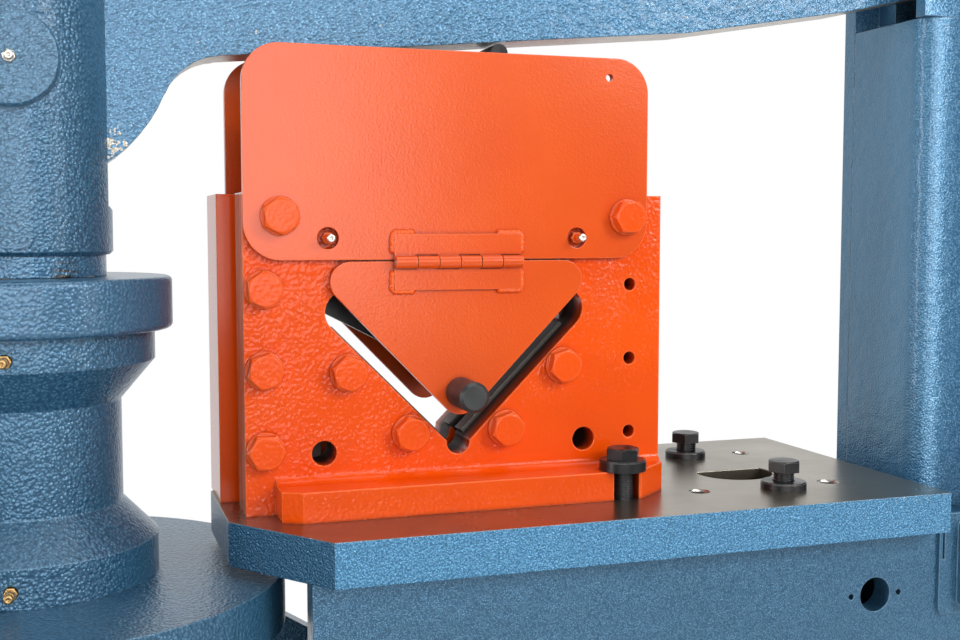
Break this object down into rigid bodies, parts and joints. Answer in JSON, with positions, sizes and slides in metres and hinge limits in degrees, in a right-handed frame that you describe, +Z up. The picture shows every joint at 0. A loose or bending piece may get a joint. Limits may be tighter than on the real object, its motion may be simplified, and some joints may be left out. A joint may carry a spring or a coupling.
{
  "type": "ironworker machine",
  "caption": "Hydraulic ironworker with a rocking beam that drives a revolving punch turret and a guarded angle shear on a tool table.",
  "frame": {"origin": "on the floor, under the middle of the machine", "axes": "+X along the machine from the turret to the cylinder, +Y to its back, +Z up"},
  "size_m": [1.625, 0.56, 1.584],
  "materials": {
    "blue_hammer_paint": "glossy hammertone",
    "orange_paint": "glossy over cast and sheet steel",
    "machined_steel": "ground",
    "black_oxide_steel": "black oxide",
    "black_knob": "moulded",
    "bronze": "turned",
    "zinc_nipples": "plated",
    "red_urethane": "moulded",
    "green_button": "moulded",
    "red_button": "moulded"
  },
  "bodies": {
    "frame": {"front_side_plate": "blue_hammer_paint", "back_side_plate": "blue_hammer_paint", "cross_feet": "blue_hammer_paint", "inner_cross_plates": "blue_hammer_paint", "deck_plate": "blue_hammer_paint", "tower_nose": "blue_hammer_paint", "beam_guides": "blue_hammer_paint", "tower_cover": "blue_hammer_paint", "fulcrum_pin": "machined_steel", "fulcrum_caps": "black_oxide_steel", "tool_table": "machined_steel", "hold_down_bolts": "black_oxide_steel", "hold_down_washers": "black_oxide_steel", "turret_arm": "blue_hammer_paint", "arm_bush": "bronze", "shear_front_plate": "orange_paint", "shear_back_plate": "orange_paint", "shear_spacers": "orange_paint", "fixed_blades": "machined_steel", "blade_bolts": "orange_paint", "plate_bolts": "orange_paint", "front_guard": "orange_paint", "back_guard": "orange_paint", "guard_bolts": "orange_paint", "shear_grease_nipples": "zinc_nipples", "fixed_hinge_leaves": "orange_paint", "hinge_pins": "machined_steel", "oil_tank": "blue_hammer_paint", "pump_motor": "black_oxide_steel", "valve_block": "machined_steel", "control_panel": "blue_hammer_paint", "cylinder_barrel": "black_oxide_steel"},
    "front_flap": {"front_flap": "orange_paint", "front_flap_leaf": "orange_paint", "front_knob": "black_knob"},
    "back_flap": {"back_flap": "orange_paint", "back_flap_leaf": "orange_paint", "back_knob": "black_knob"},
    "shear_slide": {"pusher_head": "black_oxide_steel", "moving_blade": "black_oxide_steel"},
    "beam": {"rocker_beam": "blue_hammer_paint", "fulcrum_bush": "bronze"},
    "ram": {"ram": "blue_hammer_paint", "ram_pin": "machined_steel", "pin_caps": "blue_hammer_paint", "turret_shaft": "machined_steel", "shaft_nut": "black_oxide_steel"},
    "upper_turret": {"turret_hub": "blue_hammer_paint", "hub_bushes": "bronze", "upper_disc": "blue_hammer_paint", "punch_nuts": "black_oxide_steel", "punches": "machined_steel", "strippers": "red_urethane", "hub_grease_nipples": "zinc_nipples"},
    "lower_turret": {"lower_disc": "blue_hammer_paint", "dies": "machined_steel"},
    "piston": {"cylinder_rod": "machined_steel", "rod_pin": "machined_steel"},
    "start_button": {"start_button": "green_button"},
    "stop_button": {"stop_button": "red_button"}
  },
  "joints": [
    {"name": "beam_rock", "type": "hinge", "parent": "frame", "child": "beam", "pos_m": [0.2625, 0, 1.43], "axis": [0, -1, 0], "range_deg": [0, 2.93]},
    {"name": "ram_slide", "type": "slide", "parent": "frame", "child": "ram", "axis": [0, 0, -1], "range_m": [0, 0.0451]},
    {"name": "upper_turret_turn", "type": "hinge", "parent": "ram", "child": "upper_turret", "pos_m": [-0.6175, 0, 0.94], "axis": [0, 0, 1], "continuous": true},
    {"name": "lower_turret_turn", "type": "hinge", "parent": "frame", "child": "lower_turret", "pos_m": [-0.6175, 0, 0.7], "axis": [0, 0, 1], "continuous": true},
    {"name": "shear_slide", "type": "slide", "parent": "frame", "child": "shear_slide", "axis": [0, 0, -1], "range_m": [0, 0.0275]},
    {"name": "piston_slide", "type": "slide", "parent": "frame", "child": "piston", "axis": [0, 0, 1], "range_m": [0, 0.0216]},
    {"name": "front_flap_swing", "type": "hinge", "parent": "frame", "child": "front_flap", "pos_m": [-0.3555, -0.0569, 1.1252], "axis": [-1, 0, 0], "range_deg": [0, 110]},
    {"name": "back_flap_swing", "type": "hinge", "parent": "frame", "child": "back_flap", "pos_m": [-0.3555, 0.0569, 1.1252], "axis": [1, 0, 0], "range_deg": [0, 110]},
    {"name": "start_press", "type": "slide", "parent": "frame", "child": "start_button", "axis": [0, 1, 0], "range_m": [0, 0.005], "stiffness_N_per_m": 600},
    {"name": "stop_press", "type": "slide", "parent": "frame", "child": "stop_button", "axis": [0, 1, 0], "range_m": [0, 0.005], "stiffness_N_per_m": 600}
  ],
  "couplings": [
    {"joint": "ram_slide", "follows": "beam_rock", "m_per_rad": 0.88},
    {"joint": "shear_slide", "follows": "beam_rock", "m_per_rad": 0.534},
    {"joint": "piston_slide", "follows": "beam_rock", "m_per_rad": 0.42},
    {"joint": "lower_turret_turn", "follows": "upper_turret_turn", "ratio": 1}
  ]
}
